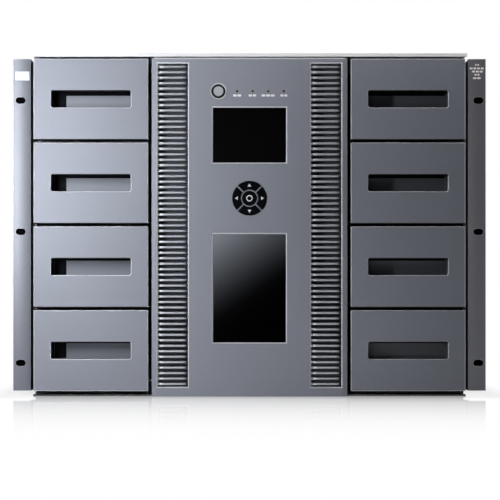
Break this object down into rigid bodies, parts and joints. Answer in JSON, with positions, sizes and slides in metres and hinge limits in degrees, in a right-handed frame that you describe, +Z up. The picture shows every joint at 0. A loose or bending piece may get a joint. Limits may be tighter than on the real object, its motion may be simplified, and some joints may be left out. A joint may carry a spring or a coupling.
{
  "type": "data tape library",
  "caption": "Rack-mounted data tape library with pull-out magazines either side of a bezel with vents, display, keypad and window, a picking robot inside and drives behind.",
  "frame": {"origin": "on the floor, at the middle of the overall box", "axes": "+X to the right seen from the front, +Y towards the rear (the front faces -Y), +Z up"},
  "size_m": [0.48, 0.7976, 0.3464],
  "materials": {
    "front_silver": "metallic silver-grey paint, satin",
    "vent_grey": "metallic silver-grey paint, satin",
    "filter_black": "open foam",
    "display_black": "gloss black",
    "smoked_window": "smoked, gloss",
    "light_clear": "clear",
    "board_green": "satin",
    "button_pale": "satin",
    "key_black": "gloss black",
    "case_steel": "galvanised",
    "ear_silver": "metallic silver-grey paint, satin",
    "tray_black": "fine grained",
    "bright_steel": "ground",
    "motor_black": "satin",
    "belt_rubber": "matt",
    "robot_aluminium": "anodised",
    "picker_grey": "satin",
    "module_steel": "galvanised",
    "fan_black": "satin"
  },
  "bodies": {
    "case": {"center_bezel": "front_silver", "vent_grilles": "vent_grey", "vent_filters": "filter_black", "display_glass": "display_black", "viewing_window": "smoked_window", "status_lights": "light_clear", "control_board": "board_green", "base_pan": "case_steel", "side_wall_left": "case_steel", "side_wall_right": "case_steel", "top_cover": "case_steel", "rear_panel": "case_steel", "rack_ear_left": "ear_silver", "rack_ear_right": "ear_silver", "magazine_shelves": "case_steel", "chassis_screws": "bright_steel", "robot_rails": "bright_steel", "travel_belt": "belt_rubber", "travel_motor": "motor_black", "drive_cage": "case_steel", "drive_bay_blanks": "module_steel", "controller_module": "module_steel", "fan_frame": "fan_black"},
    "magazine_left_1": {"magazine_face_left_1": "front_silver", "magazine_tray_left_1": "tray_black"},
    "magazine_left_2": {"magazine_face_left_2": "front_silver", "magazine_tray_left_2": "tray_black"},
    "magazine_left_3": {"magazine_face_left_3": "front_silver", "magazine_tray_left_3": "tray_black"},
    "magazine_left_4": {"magazine_face_left_4": "front_silver", "magazine_tray_left_4": "tray_black"},
    "magazine_right_1": {"magazine_face_right_1": "front_silver", "magazine_tray_right_1": "tray_black"},
    "magazine_right_2": {"magazine_face_right_2": "front_silver", "magazine_tray_right_2": "tray_black"},
    "magazine_right_3": {"magazine_face_right_3": "front_silver", "magazine_tray_right_3": "tray_black"},
    "magazine_right_4": {"magazine_face_right_4": "front_silver", "magazine_tray_right_4": "tray_black"},
    "power_button": {"power_button": "button_pale"},
    "key_ok": {"key_ok": "key_black"},
    "key_up": {"key_up": "key_black"},
    "key_down": {"key_down": "key_black"},
    "key_left": {"key_left": "key_black"},
    "key_right": {"key_right": "key_black"},
    "carriage": {"robot_carriage": "robot_aluminium", "lift_mast": "robot_aluminium", "lift_motor": "motor_black"},
    "lift": {"lift_platform": "robot_aluminium"},
    "picker": {"picker_cradle": "picker_grey", "barcode_reader": "motor_black"},
    "gripper": {"gripper": "picker_grey"},
    "lift_screw": {"lift_screw": "bright_steel"},
    "drive_pulley": {"drive_pulley": "robot_aluminium"},
    "idler_pulley": {"idler_pulley": "robot_aluminium"},
    "tape_drive_1": {"tape_drive_1": "module_steel"},
    "tape_drive_2": {"tape_drive_2": "module_steel"},
    "power_supply_1": {"power_supply_1": "module_steel"},
    "power_supply_2": {"power_supply_2": "module_steel"},
    "fan_rotor": {"fan_rotor": "fan_black"}
  },
  "joints": [
    {"name": "magazine_left_1_slide", "type": "slide", "parent": "case", "child": "magazine_left_1", "axis": [0, -1, 0], "range_m": [0, 0.42]},
    {"name": "magazine_left_2_slide", "type": "slide", "parent": "case", "child": "magazine_left_2", "axis": [0, -1, 0], "range_m": [0, 0.42]},
    {"name": "magazine_left_3_slide", "type": "slide", "parent": "case", "child": "magazine_left_3", "axis": [0, -1, 0], "range_m": [0, 0.42]},
    {"name": "magazine_left_4_slide", "type": "slide", "parent": "case", "child": "magazine_left_4", "axis": [0, -1, 0], "range_m": [0, 0.42]},
    {"name": "magazine_right_1_slide", "type": "slide", "parent": "case", "child": "magazine_right_1", "axis": [0, -1, 0], "range_m": [0, 0.42]},
    {"name": "magazine_right_2_slide", "type": "slide", "parent": "case", "child": "magazine_right_2", "axis": [0, -1, 0], "range_m": [0, 0.42]},
    {"name": "magazine_right_3_slide", "type": "slide", "parent": "case", "child": "magazine_right_3", "axis": [0, -1, 0], "range_m": [0, 0.42]},
    {"name": "magazine_right_4_slide", "type": "slide", "parent": "case", "child": "magazine_right_4", "axis": [0, -1, 0], "range_m": [0, 0.42]},
    {"name": "power_button_press", "type": "slide", "parent": "case", "child": "power_button", "axis": [0, 1, 0], "range_m": [0, 0.0012], "stiffness_N_per_m": 800},
    {"name": "key_ok_press", "type": "slide", "parent": "case", "child": "key_ok", "axis": [0, 1, 0], "range_m": [0, 0.0012], "stiffness_N_per_m": 800},
    {"name": "key_up_press", "type": "slide", "parent": "case", "child": "key_up", "axis": [0, 1, 0], "range_m": [0, 0.0012], "stiffness_N_per_m": 800},
    {"name": "key_down_press", "type": "slide", "parent": "case", "child": "key_down", "axis": [0, 1, 0], "range_m": [0, 0.0012], "stiffness_N_per_m": 800},
    {"name": "key_left_press", "type": "slide", "parent": "case", "child": "key_left", "axis": [0, 1, 0], "range_m": [0, 0.0012], "stiffness_N_per_m": 800},
    {"name": "key_right_press", "type": "slide", "parent": "case", "child": "key_right", "axis": [0, 1, 0], "range_m": [0, 0.0012], "stiffness_N_per_m": 800},
    {"name": "robot_travel", "type": "slide", "parent": "case", "child": "carriage", "axis": [0, 1, 0], "range_m": [0, 0.324]},
    {"name": "robot_lift", "type": "slide", "parent": "carriage", "child": "lift", "axis": [0, 0, 1], "range_m": [0, 0.3032]},
    {"name": "picker_turn", "type": "hinge", "parent": "lift", "child": "picker", "pos_m": [0, -0.26565, 0.0091], "axis": [0, 0, 1], "range_deg": [-90, 90]},
    {"name": "gripper_reach", "type": "slide", "parent": "picker", "child": "gripper", "axis": [0, 1, 0], "range_m": [0, 0.046]},
    {"name": "lift_screw_spin", "type": "hinge", "parent": "carriage", "child": "lift_screw", "pos_m": [0, -0.35765, 0.0155], "axis": [0, 0, 1], "range_deg": [0, 13649]},
    {"name": "drive_pulley_spin", "type": "hinge", "parent": "case", "child": "drive_pulley", "pos_m": [-0.103, 0.14535, 0.0092], "axis": [-1, 0, 0], "range_deg": [0, 3872.5]},
    {"name": "idler_pulley_spin", "type": "hinge", "parent": "case", "child": "idler_pulley", "pos_m": [-0.103, -0.37065, 0.0092], "axis": [-1, 0, 0], "range_deg": [0, 3872.5]},
    {"name": "tape_drive_1_slide", "type": "slide", "parent": "case", "child": "tape_drive_1", "axis": [0, 1, 0], "range_m": [0, 0.2]},
    {"name": "tape_drive_2_slide", "type": "slide", "parent": "case", "child": "tape_drive_2", "axis": [0, 1, 0], "range_m": [0, 0.2]},
    {"name": "power_supply_1_slide", "type": "slide", "parent": "case", "child": "power_supply_1", "axis": [0, 1, 0], "range_m": [0, 0.17]},
    {"name": "power_supply_2_slide", "type": "slide", "parent": "case", "child": "power_supply_2", "axis": [0, 1, 0], "range_m": [0, 0.17]},
    {"name": "fan_spin", "type": "hinge", "parent": "case", "child": "fan_rotor", "pos_m": [0.15, 0.35635, 0.23], "axis": [0, 1, 0], "continuous": true}
  ],
  "couplings": [
    {"joint": "lift_screw_spin", "follows": "robot_lift", "rad_per_m": 785.4},
    {"joint": "drive_pulley_spin", "follows": "robot_travel", "rad_per_m": 208.33},
    {"joint": "idler_pulley_spin", "follows": "robot_travel", "rad_per_m": 208.33}
  ]
}
